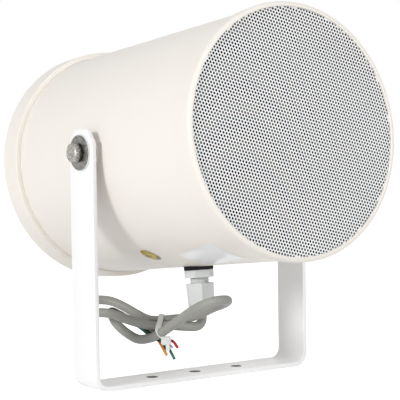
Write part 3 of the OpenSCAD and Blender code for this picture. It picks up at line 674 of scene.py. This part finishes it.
class SPEAKER_OT_rear_cap(bpy.types.Operator):
    """Turn the rear cap with its rounded edge and screw wells"""

    bl_idname = "speaker.rear_cap"
    bl_label = "Rear cap"

    def execute(self, context):
        s = context.scene.speaker_housing
        outer, back, r = s.cap_radius / MM, -s.back / MM, s.cap_round / MM
        front = back + s.cap_length / MM
        inner, floor, well = 87.35, back + 4, back + 2.5
        profile = ([(inner, floor), (inner, front)] + arc((outer - 0.9, front - 0.9), 0.9, 90, 0, 5)
                   + arc((outer - r, back + r), r, 0, -90, 10)
                   + [(outer - 14, back)] + arc((outer - 14.6, back + 0.6), 0.6, -90, 0, 1)
                   + [(outer - 15, back + 1), (CENTRE, back + 1), (CENTRE, floor)])
        points, faces = lathe(profile, 288, True)
        cap = mesh_from("rear_cap_shell", points, faces, barrel_space(), 30)
        settle(cap, "housing", "shell", "rear_cap", slot="housing_plastic")
        cutter = lathe([(CENTRE, back - 1), (3.9, back - 1), (3.9, well), (CENTRE, well)], 48)
        wells = [mesh_from("well", *moved(cutter, Matrix.Translation(at)), barrel_space())
                 for at in screw_places()]
        shaded(cut(cap, *wells), 30)
        self.screws(well)
        return {"FINISHED"}

    def screws(self, seat):
        """The cap's cross-slotted screws, whose heads rest on the wells' floors."""
        shank, head, rise, crown = 1.75, 3.5, 2.2, 1.3
        profile = ([(CENTRE, seat + 14), (1.1, seat + 14), (shank, seat + 12), (shank, seat), (head, seat),
                    (head, seat - 0.9)] + arc((head - crown, seat - 0.9), crown, 0, -90, 6)
                   + [(CENTRE, seat - rise)])
        one = mesh_from("cap_screw", *lathe(profile, 48))
        slots = [mesh_from("slot", *block((0, 0, seat - rise), size, 0.1))
                 for size in ((0.9, 4, 2.4), (4, 0.9, 2.4))]
        cut(one, *slots)
        points = [tuple(v.co / MM) for v in one.data.vertices]
        faces = [tuple(f.vertices) for f in one.data.polygons]
        bpy.data.objects.remove(one)
        parts = [moved((points, faces), Matrix.Translation(at) @ Matrix.Rotation(0.7 * k, 4, "Z"))
                 for k, at in enumerate(screw_places())]
        made = mesh_from("cap_screw_set", *merged(*parts), barrel_space(), 25)
        settle(made, "housing", "steel", "cap_screws")


class SPEAKER_OT_grille(bpy.types.Operator):
    """Punch the perforated sheet hole by hole"""

    bl_idname = "speaker.grille"
    bl_label = "Grille"

    def execute(self, context):
        g = context.scene.speaker_grille
        radius, pitch, hole = g.radius / MM, g.pitch / MM, g.hole / MM
        top = GRILLE_FACE
        low = top - g.thickness / MM
        corner, row = pitch / math.sqrt(3), pitch * math.sin(math.radians(60))
        turn = Matrix.Rotation(g.turn, 2)
        points, faces, shared, rims = [], [], {}, set()

        def corner_at(at, k):
            a = math.radians(30 + 60 * k)
            away = polar(corner, a)
            x, y = at.x + away[0], at.y + away[1]
            key = (round(x * 100), round(y * 100))
            if key not in shared:
                shared[key] = len(points)
                points.append((*(turn @ Vector((x, y))), top))
            return shared[key]

        count = int(radius / row) + 1
        holes = 0
        for j in range(-count, count + 1):
            for i in range(-count - 1, count + 2):
                at = Vector((pitch * (i + (j % 2) / 2), row * j))
                if at.length > radius - corner - g.margin / MM:
                    continue
                holes += 1
                hexagon = [corner_at(at, k) for k in range(6)]
                start = len(points)
                for z in (top, low):
                    for k in range(12):
                        q = turn @ (at + Vector(polar(hole, math.radians(30 * k))))
                        points.append((q.x, q.y, z))
                for k in range(6):
                    here, then = hexagon[k], hexagon[(k + 1) % 6]
                    a, b, c = (start + (2 * k + m) % 12 for m in range(3))
                    faces += [(here, b, a), (here, c, b), (here, then, c)]
                    rims ^= {(here, then)} if (then, here) not in rims else {(then, here)}
                faces += [(start + k, start + (k + 1) % 12, start + 12 + (k + 1) % 12, start + 12 + k)
                          for k in range(12)]
        if holes < 3000:
            raise RuntimeError(f"the grille came to only {holes} holes")
        after = dict(rims)
        loop = [next(iter(after))]
        while after[loop[-1]] != loop[0]:
            loop.append(after[loop[-1]])
        if len(loop) != len(rims):
            raise RuntimeError("the holes' cells leave more than one outline")
        start, sides, bevel = len(points), 288, 0.15
        for z in (top - bevel, low):
            points += [(*polar(radius, a), z) for a in round_angles(sides)]
        rim = len(points)
        points += [(*polar(radius - bevel, a), top) for a in round_angles(sides)]
        order = [*range(rim, rim + sides), *loop]
        flat = [[Vector(points[i]) for i in range(rim, rim + sides)], [Vector(points[i]) for i in loop]]
        faces += [tuple(order[i] for i in tri) for tri in tessellate_polygon(flat)]
        for k in range(sides):
            j = (k + 1) % sides
            faces.append((rim + k, rim + j, start + j, start + k))
            faces.append((start + k, start + j, start + sides + j, start + sides + k))
        made = mesh_from("perforated_sheet", points, faces, barrel_space(), 30)
        settle(made, "housing", "sheet", "grille", slot="grille_paint")
        redress("dust_screen", "foam")
        return {"FINISHED"}


class SPEAKER_OT_bracket(bpy.types.Operator):
    """Bend the strap with rounded edges, cut arm ends and fixing holes"""

    bl_idname = "speaker.bracket"
    bl_label = "Bracket"

    def execute(self, context):
        b = context.scene.speaker_bracket
        half, thick, bend, width = (v / MM for v in (b.gap / 2 + b.thickness, b.thickness, b.bend, b.width))
        edge, top = b.edge / MM, PIVOT.z / MM
        ends = ((16.7, 0), (16.7, 8.1), (16.5, 8.7), (16.1, 9.2), (8.3, 15.1), (7.6, 15.6), (6.6, 15.9),
                (5.4, width / 2))
        stations = [(-half, top + rise, (-1, 0), min(reach, width / 2)) for rise, reach in ends]
        stations += [(-half, top - (top - bend) * k / 4, (-1, 0), width / 2) for k in range(1, 5)]
        stations += [(-half + bend - bend * math.cos(a), bend - bend * math.sin(a),
                      (-math.cos(a), -math.sin(a)), width / 2)
                     for a in [math.radians(90 * k / 12) for k in range(1, 13)]]
        stations += [(-x, z, (-n[0], n[1]), w) for x, z, n, w in reversed(stations)]
        points = []
        for x, z, out, w in stations:
            points += [(x + out[0] * d, y, z + out[1] * d) for y, d in self.section(w, thick, edge)]
        n = len(self.section(width, thick, edge))
        faces = grid_faces(len(stations), n)
        faces += [tuple(range(n))[::-1], tuple(range((len(stations) - 1) * n, len(stations) * n))]
        strap = mesh_from("strap", points, faces, None, 30)
        pitch, hole, bore, past = b.hole_pitch / MM, b.hole / MM, 4.1, 2
        cutters = [rod_at((i * pitch, 0, -past), (i * pitch, 0, thick + past), hole) for i in (-1, 0, 1)]
        cutters += [rod_at((side * (half - thick - past), 0, top), (side * (half + past), 0, top), bore)
                    for side in (-1, 1)]
        shaded(cut(strap, *cutters), 30)
        settle(strap, "bracket", "paint", "bracket", slot="bracket_paint")
        return {"FINISHED"}

    def section(self, reach, thick, edge):
        """The strap's section as (width, depth), with rounded corners."""
        w = max(reach, 0.05)
        e = min(edge, w * 0.9)
        corner = [polar(e, math.radians(q)) for q in (0, 30, 60, 90)]
        outline = [(w - e + cx, -e + cy) for cx, cy in corner]
        outline += [(-w + e - cx, -e + cy) for cx, cy in reversed(corner)]
        outline += [(-w + e - cx, -thick + e - cy) for cx, cy in corner]
        return outline + [(w - e + cx, -thick + e - cy) for cx, cy in reversed(corner)]


class SPEAKER_OT_pivots(bpy.types.Operator):
    """Make both pivots' bolts, washers and spacers"""

    bl_idname = "speaker.pivots"
    bl_label = "Pivot hardware"

    def execute(self, context):
        strap = context.scene.speaker_bracket
        thick = strap.thickness / MM
        arm = strap.gap / 2 / MM + thick
        for side, name in ((-1, "left"), (1, "right")):
            space = pivot_space(side)
            head = arm + LINER + FLAT_WASHER + LOCK_WASHER
            self.bolt(name, head, 30 if side < 0 else 40, space)
            ring = self.split_ring(head - LOCK_WASHER, LOCK_WASHER)
            self.ring("lock_washer_" + name, space, ring, "spring", "spring_washers")
            flat = self.washer(4.3, 12.5, arm + LINER, FLAT_WASHER, 0.3)
            self.ring("flat_washer_" + name, space, flat, "washer", "steel_washers")
            liner = self.washer(4.2, 13.2, arm, LINER, 0.25)
            self.ring("plastic_washer_" + name, space, liner, "nylon", "plastic_washers")
            spacer = self.washer(4.2, 8, PAD_END, arm - thick - PAD_END, 0.4)
            self.ring("spacer_" + name, space, spacer, "rubber", "spacers")
        redress("thread_inserts", "brass")
        return {"FINISHED"}

    def bolt(self, name, head, turn, space):
        """A hexagon bolt whose head stands on this height, with a turned collar and a shallow dish."""
        flats, shank, collar, end = 13, 4, 6.3, 75
        top = head + BOLT_HEAD
        rows = [(head, collar, 1), (head + 0.2, 7.2, 1), (head + 0.25, 9, 1)]
        rows += [(top - 0.6 * (r - 5.7), r, 1) for r in (7.52, 7.3, 7.1, 6.9, 6.7, 6.5, 6.2, 5.9)]
        rows += [(top, 5.6, 1), (top, 4.7, 1), (top - 0.15, 4.3, 1), (top - 0.15, CENTRE, 1)]
        rod = lathe([(CENTRE, end), (shank - 0.7, end), (shank, end + 0.7), (shank, head),
                     (collar, head)], 48)
        made = mesh_from("pivot_bolt_" + name, *merged(hex_part(flats, rows, turn), rod), space, 20)
        settle(made, "housing", "steel", "pivot_bolts", slot="screw_steel")

    def ring(self, name, space, part, material, node):
        settle(mesh_from(name, *part, space, 25), "housing", material, node)

    def washer(self, inner, outer, z, thick, e):
        return lathe([(inner, z), (outer - e, z), (outer, z + e), (outer, z + thick - e)]
                     + arc((outer - e, z + thick - e), e, 0, 90, 3) + [(inner, z + thick)], 96, True)

    def split_ring(self, z, thick):
        """A ring that is cut through, with one end a little higher than the other."""
        inner, outer, steps, start, sweep = 4.3, 6.8, 72, 80, 345
        section = ((inner, 0.15), (inner + 0.2, 0.05), (outer - 0.2, 0.05), (outer, 0.2),
                   (outer, thick - 0.2), (outer - 0.2, thick - 0.05), (inner + 0.2, thick - 0.05),
                   (inner, thick - 0.2))
        points = []
        for k in range(steps + 1):
            rise = 0.1 * (k / steps - 0.5) + 0.1
            points += [(*polar(r, math.radians(start + sweep * k / steps)), z + h * 0.9 + rise)
                       for r, h in section]
        n = len(section)
        faces = grid_faces(steps + 1, n)
        return points, faces + [tuple(range(n))[::-1], tuple(range(steps * n, steps * n + n))]


class SPEAKER_OT_gland(bpy.types.Operator):
    """Make the cable gland with its open thread and dome nut"""

    bl_idname = "speaker.gland"
    bl_label = "Cable gland"

    def execute(self, context):
        space = gland_space()
        seal_low, seat, bore, outer = GLAND_FLAT - 0.4, 89.8, 7.6, 11.1
        seal = lathe([(bore, seal_low), (outer, seal_low)] + arc((outer - 0.4, seat - 0.4), 0.4, 0, 90, 3)
                     + [(bore, seat)], 96, True)
        settle(mesh_from("gland_gasket", *seal, space, 30), "housing", "rubber", "gland_seal")
        self.body(space, seat)
        self.nut(space)
        redress("gland_insert", "rubber")
        redress("gland_locknut", "gland")
        return {"FINISHED"}

    def body(self, space, seat):
        """The hexagon, its thread and the neck inside the barrel."""
        flats, turn, crest, root, mouth, throat = 19.7, 21, 7.1, 6.4, 107.7, 5.2
        top, wide = seat + 5.8, 12
        rows = [(seat, 10.2, 1), (seat + 0.15, 10.9, 1), (seat + 0.35, wide, 1), (top - 0.5, wide, 1),
                (top - 0.2, 10.9, 1), (top, 10.1, 1), (top, root + 0.5, 1)]
        thread = self.thread(top - 0.4, mouth - 0.2, crest, root, 1.5)
        neck = lathe([(7.6, seat), (7.6, 72.5), (throat, 72.5), (throat, mouth), (root, mouth),
                      (root, mouth - 0.3)], 96)
        made = mesh_from("gland_base", *merged(hex_part(flats, rows, turn), thread, neck), space, 25)
        settle(made, "housing", "gland", "gland_body", slot="gland_plastic")

    def nut(self, space):
        """The dome nut: a hexagon that narrows and rounds off to the cable's mouth."""
        flats, turn, low, wide, mouth = 19.6, -2, 99.7, 12, 5.5
        corner = flats / 2 / math.cos(math.radians(30))
        rows = [(low, corner - 0.9, 1), (low + 0.2, corner - 0.4, 1), (low + 0.7, wide, 1)]
        rows += [(z, wide, 1 - 0.04 * (z - 100) / 13) for z in (104, 108, 111)]
        rows += [(112.7 + 7.3 * math.sin(q), mouth + (corner * 0.955 - mouth) * math.cos(q), 0.96)
                 for q in [math.radians(a) for a in range(0, 91, 9)]]
        rows += [(119.9, 4.2, 1), (119.4, 3.75, 1), (114, 3.65, 1)]
        skirt = lathe([(corner - 0.9, low), (7.2, low), (7.2, 106)], 144)
        made = mesh_from("dome_nut", *merged(hex_part(flats, rows, turn), skirt), space, 24)
        settle(made, "housing", "gland", "gland_nut", slot="gland_plastic")

    def thread(self, low, high, crest, root, pitch):
        """A single-start thread with flat crests, from one height to another."""
        sides, rows = 96, 100
        points = []
        for i in range(rows + 1):
            z = low + (high - low) * i / rows
            for k, a in enumerate(round_angles(sides)):
                phase = ((z - low) / pitch - k / sides) % 1
                lift = min(1.0, max(0.0, 1.6 - 3.2 * abs(phase - 0.5)))
                points.append((*polar(root + (crest - root) * lift, a), z))
        return points, grid_faces(rows + 1, sides)


class SPEAKER_OT_cable(bpy.types.Operator):
    """Lay the cable with its tie and bare cores"""

    bl_idname = "speaker.cable"
    bl_label = "Cable"

    def execute(self, context):
        c = context.scene.speaker_cable
        path = curve_points(CABLE_ROUTE, 8)
        cord = mesh_from("cable", *tube(path, c.sheath / MM, c.sides), None, 50)
        settle(cord, "housing", "cable", "cord", "cord_hank", slot="cord_sheath")
        strands = self.strands(path)
        tie = self.tie(strands, c)
        cores = self.cores(c)
        run = sum((b - a).length for a, b in zip(path, path[1:])) * MM
        [tuple(p * MM) for p in path]
        return {"FINISHED"}

    def waist(self):
        """The tie's plane: its x runs away from the viewer, and its y along the strands."""
        return Matrix.Translation((-27, 5, 0)) @ Matrix.Rotation(math.radians(50), 4, "Z")

    def strands(self, path):
        """Where the cable crosses the tie's plane, as (x, z) in its frame."""
        back = self.waist().inverted()
        local = [back @ p for p in path]
        found = []
        for a, b in zip(local, local[1:]):
            if a.y * b.y <= 0 and a.y != b.y and abs(a.x) < 20:
                at = a.lerp(b, a.y / (a.y - b.y))
                found.append((at.x, at.z))
        if len(found) != 3:
            raise RuntimeError(f"{len(found)} strands cross the tie, where three should")
        return found

    def tie(self, strands, c):
        """The strap that hugs the strands and the cores, with its head and its cut tail."""
        r = c.sheath / MM + 0.05
        rings = [(x, z, r) for x, z in strands] + [(*CORE_BUNDLE, 3.05)]
        cloud = [Vector((x, z)) + Vector(polar(q, a)) for x, z, q in rings for a in round_angles(48)]
        outline = [cloud[i] for i in self.hull(cloud)]
        thick, half = c.tie_thickness / MM, c.tie_width / MM / 2
        n, points = len(outline), []
        for i, p in enumerate(outline):
            way = outline[(i + 1) % n] - outline[i - 1]
            out = Vector((way.y, -way.x)).normalized()
            for d, y in ((0, -half), (0, half), (thick * 0.75, half), (thick, half * 0.8),
                         (thick, -half * 0.8), (thick * 0.75, -half)):
                q = p + out * d
                points.append((q.x, y + self.lean(q.x, q.y), q.y))
        band = (points, grid_faces(n, 6, True, True))
        at = Vector((-13.6, -5.4, 30.8))
        head = block(at, (3.8, 7.2, 6.4), 0.8)
        mouth = block(at + Vector((-1.6, 0, -0.2)), (1.4, 3.2, 2.6), 0.3)
        tail = block(at + Vector((-0.6, -1.2, -5)), (1.1, 2.8, 6), 0.25)
        parts = merged(band, head, mouth, tail)
        made = mesh_from("cable_tie_strap", *moved(parts, self.waist()), None, 35)
        return settle(made, "housing", "nylon", "cable_tie", slot="washer_plastic")

    def lean(self, x, z):
        """How far along the strands the strap lies at this place."""
        middle = 41.5
        near = max(0.0, min(1.0, (2 - x) / 12))
        bend = 0.07 if z > middle else 0.053
        return near * (1.1 - bend * (z - middle) ** 2)

    def hull(self, points):
        """The points' outer outline, as their numbers in order."""
        order = sorted(range(len(points)), key=lambda i: (points[i].x, points[i].y))

        def turns(a, b, c):
            return (points[b] - points[a]).cross(points[c] - points[a])

        def half(indices):
            out = []
            for i in indices:
                while len(out) > 1 and turns(out[-2], out[-1], i) <= 1e-9:
                    out.pop()
                out.append(i)
            return out[:-1]

        return half(order) + half(order[::-1])

    def cores(self, c):
        """The five bare cores, from the end of the sheath through the tie to their cut ends."""
        waist, radius, made = self.waist(), c.core / MM, []
        ends = {"white": ((-4, -3, 28.5), (-8, -6.5, 27), (-11, -9.5, 25.5)),
                "black": ((-4, -2, 28.8), (-8, -3.4, 27), (-11.6, -5, 24.4)),
                "green": ((-3, -2.5, 27.6), (-9.4, -7, 23.9), (-13.4, -11.3, 17.3)),
                "orange": ((-3, 0.6, 27.6), (-7.8, -1.4, 25.9), (-11.7, -5.4, 19.8)),
                "red": ((-3, -3.5, 29.5), (-10.9, -9.8, 30.1), (-14.7, -13.9, 25.9))}
        route = [Vector(p) for p in CORE_ROUTE]
        for k, (name, end) in enumerate(ends.items()):
            a = math.radians(90 + 72 * k)
            at = Vector(CORE_BUNDLE) + Vector(polar(2.15, a))
            points = []
            for i, p in enumerate(route):
                way = (route[min(i + 1, len(route) - 1)] - route[max(i - 1, 0)]).normalized()
                side = (Vector((0, 0, 1)) - way * way.z).normalized()
                across = way.cross(side)
                twist = a + 0.25 * (i - len(route) + 1)
                spread = 1.9 if i else 1.6
                points.append(p + spread * (side * math.sin(twist) - across * math.cos(twist)))
            points += [waist @ Vector(p) for p in ((at.x, 2, at.y), *end)]
            core = mesh_from("core_end_" + name, *tube(curve_points(points, 5), radius, 12, 0.15), None, 50)
            made.append(settle(core, "housing", "core_" + name, "cord_cores", slot="core_sheath"))
        return made


class SPEAKER_OT_marks(bpy.types.Operator):
    """Lay the bare film and the round sticker on the barrel"""

    bl_idname = "speaker.marks"
    bl_label = "Label and sticker"

    def execute(self, context):
        radius = context.scene.speaker_housing.barrel_radius / MM
        turn = Matrix.Rotation(math.radians(13), 2)
        rows, columns, width, reach = 29, 21, 28, 57
        film = [turn @ Vector((width * (j / (columns - 1) - 0.5), reach * (i / (rows - 1) - 0.5)))
                for i in range(rows) for j in range(columns)]
        self.film("label_film", film, grid_faces(rows, columns, False), (62, 22.5, radius + 0.12),
                  "label", "wiring_label", "label_film")
        rings, spokes, size = 6, 48, 8.2
        disc = [(0, 0)]
        disc += [polar(size * i / rings, a) for i in range(1, rings + 1) for a in round_angles(spokes)]
        faces = [(0, k + 1, (k + 1) % spokes + 1) for k in range(spokes)]
        faces += [tuple(q + 1 for q in quad) for quad in grid_faces(rings, spokes)]
        self.film("round_sticker", disc, faces, (-2, 28.9, radius + 0.13), "gold", "gold_sticker",
                  "sticker_film")
        return {"FINISHED"}

    def film(self, name, flat, faces, place, material, node, slot):
        """Wraps flat points round the barrel at a station, an angle from the bottom and a radius."""
        (station, angle, radius), points = place, []
        for x, y in flat:
            points.append((*polar(radius, math.radians(-90 - angle) + x / radius), station + y))
        settle(mesh_from(name, points, faces, barrel_space(), 60), "housing", material, node, slot=slot)


class SPEAKER_OT_inside(bpy.types.Operator):
    """Finish the pieces inside the barrel"""

    bl_idname = "speaker.inside"
    bl_label = "Inner pieces"

    LOOKS = {
        "rubber": ("cap_seal_ring", "chassis_gasket", "surround"),
        "steel": ("chassis_screws", "transformer_screws", "top_plate", "yoke", "transformer_frame"),
        "chassis": ("chassis",), "paper": ("cone", "dust_cap"), "cloth": ("spider",),
        "coil": ("voice_coil", "transformer_winding"), "ferrite": ("magnet",), "board": ("terminal_board",),
        "brass": ("terminal_tags",), "stack": ("transformer_core",), "nylon": ("transformer_bobbin",),
        "cable": ("inner_cable",), "core_red": ("speaker_leads",),
    }

    def execute(self, context):
        for look, nodes in self.LOOKS.items():
            for node in nodes:
                redress(node, look)
        return {"FINISHED"}


class SPEAKER_OT_stage(bpy.types.Operator):
    """Set the white floor, the soft lights and the camera"""

    bl_idname = "speaker.stage"
    bl_label = "Stage"

    def execute(self, context):
        scene = context.scene
        scene.view_settings.view_transform = "Standard"
        self.camera(scene)
        self.floor()
        self.world(scene)
        self.lamp("key_light", (-1.85, -0.4, 0.75), (0, 0, 0.15), 0.6, 18)
        self.lamp("front_light", (0.6, -1.8, 1.15), (0, 0, 0.12), 1.2, 13)
        self.lamp("low_light", (-0.6, -1.7, 0.1), (0, 0, 0.15), 0.7, 3)
        return {"FINISHED"}

    def camera(self, scene):
        data = bpy.data.cameras.new("camera")
        data.lens, data.sensor_width = 128.16, 36
        made = link(bpy.data.objects.new("camera", data))
        azimuth, elevation, roll = (math.radians(v) for v in (-34.901, 2.771, -0.833))
        level = math.cos(elevation)
        ahead = Vector((-math.sin(azimuth) * level, math.cos(azimuth) * level, -math.sin(elevation)))
        right = Vector((math.cos(azimuth), math.sin(azimuth), 0))
        up = right.cross(ahead)
        x = math.cos(roll) * right + math.sin(roll) * up
        y = math.cos(roll) * up - math.sin(roll) * right
        at = mm(-606.9, -879.8, 184.7)
        made.matrix_world = Matrix(((x.x, y.x, -ahead.x, at.x), (x.y, y.y, -ahead.y, at.y),
                                    (x.z, y.z, -ahead.z, at.z), (0, 0, 0, 1)))
        data.clip_start, data.clip_end = 0.01, 50
        scene.camera = made

    def seen(self, tree):
        """1 for camera, mirror and clear rays, and 0 for the rays that light the object."""
        path = tree.nodes.new("ShaderNodeLightPath")
        total = path.outputs["Is Camera Ray"]
        for name in ("Is Glossy Ray", "Is Transmission Ray"):
            add = tree.nodes.new("ShaderNodeMath")
            add.operation, add.use_clamp = "ADD", True
            tree.links.new(total, add.inputs[0])
            tree.links.new(path.outputs[name], add.inputs[1])
            total = add.outputs[0]
        return total

    def floor(self):
        size = 6.0
        mesh = bpy.data.meshes.new("floor")
        corners = [(-size, -size, 0), (size, -size, 0), (size, size, 0), (-size, size, 0)]
        mesh.from_pydata(corners, [], [(0, 1, 2, 3)])
        made = link(bpy.data.objects.new("floor", mesh))
        material = bpy.data.materials.new("white_floor")
        material.use_nodes = True
        tree = material.node_tree
        surface = tree.nodes["Principled BSDF"]
        surface.inputs["Base Color"].default_value = (0.9, 0.9, 0.9, 1)
        surface.inputs["Roughness"].default_value = 0.9
        surface.inputs["Emission Color"].default_value = (1, 1, 1, 1)
        scale = tree.nodes.new("ShaderNodeMath")
        scale.operation = "MULTIPLY"
        scale.inputs[1].default_value = 0.65
        tree.links.new(self.seen(tree), scale.inputs[0])
        tree.links.new(scale.outputs[0], surface.inputs["Emission Strength"])
        mesh.materials.append(material)

    def world(self, scene):
        world = bpy.data.worlds.new("studio")
        world.use_nodes = True
        tree = world.node_tree
        back = tree.nodes["Background"]
        back.inputs["Color"].default_value = (1, 1, 1, 1)
        mixed = tree.nodes.new("ShaderNodeMapRange")
        mixed.inputs["To Min"].default_value = 0.43
        mixed.inputs["To Max"].default_value = 1.0
        tree.links.new(self.seen(tree), mixed.inputs["Value"])
        tree.links.new(mixed.outputs[0], back.inputs["Strength"])
        scene.world = world

    def lamp(self, name, at, target, size, power):
        data = bpy.data.lights.new(name, "AREA")
        data.shape, data.size, data.energy = "DISK", size, power
        made = link(bpy.data.objects.new(name, data))
        made.location = at
        made.rotation_mode = "QUATERNION"
        made.rotation_quaternion = (Vector(target) - Vector(at)).to_track_quat("-Z", "Y")


class SPEAKER_PT_panel(bpy.types.Panel):
    """The speaker's pieces, sizes and colours"""

    bl_label = "Projection Speaker"
    bl_idname = "SPEAKER_PT_panel"
    bl_space_type = "VIEW_3D"
    bl_region_type = "UI"
    bl_category = "Speaker"

    def draw(self, context):
        for name, group in GROUPS.items():
            box = self.layout.box()
            for key in group.__annotations__:
                box.prop(getattr(context.scene, name), key)
        for operator in OPERATORS:
            self.layout.operator(operator.bl_idname)


OPERATORS = (SPEAKER_OT_stage, SPEAKER_OT_cable, SPEAKER_OT_barrel, SPEAKER_OT_rear_cap, SPEAKER_OT_grille,
             SPEAKER_OT_bracket, SPEAKER_OT_pivots, SPEAKER_OT_gland, SPEAKER_OT_marks, SPEAKER_OT_inside)
CLASSES = (*GROUPS.values(), *OPERATORS, SPEAKER_PT_panel)


def register():
    for cls in CLASSES:
        bpy.utils.register_class(cls)
    for name, group in GROUPS.items():
        setattr(bpy.types.Scene, name, PointerProperty(type=group))


def unregister():
    for name in GROUPS:
        delattr(bpy.types.Scene, name)
    for cls in reversed(CLASSES):
        bpy.utils.unregister_class(cls)


def main():
    register()
    for operator in OPERATORS:
        group, name = operator.bl_idname.split(".")
        getattr(getattr(bpy.ops, group), name)()


if __name__ == "__main__":
    main()
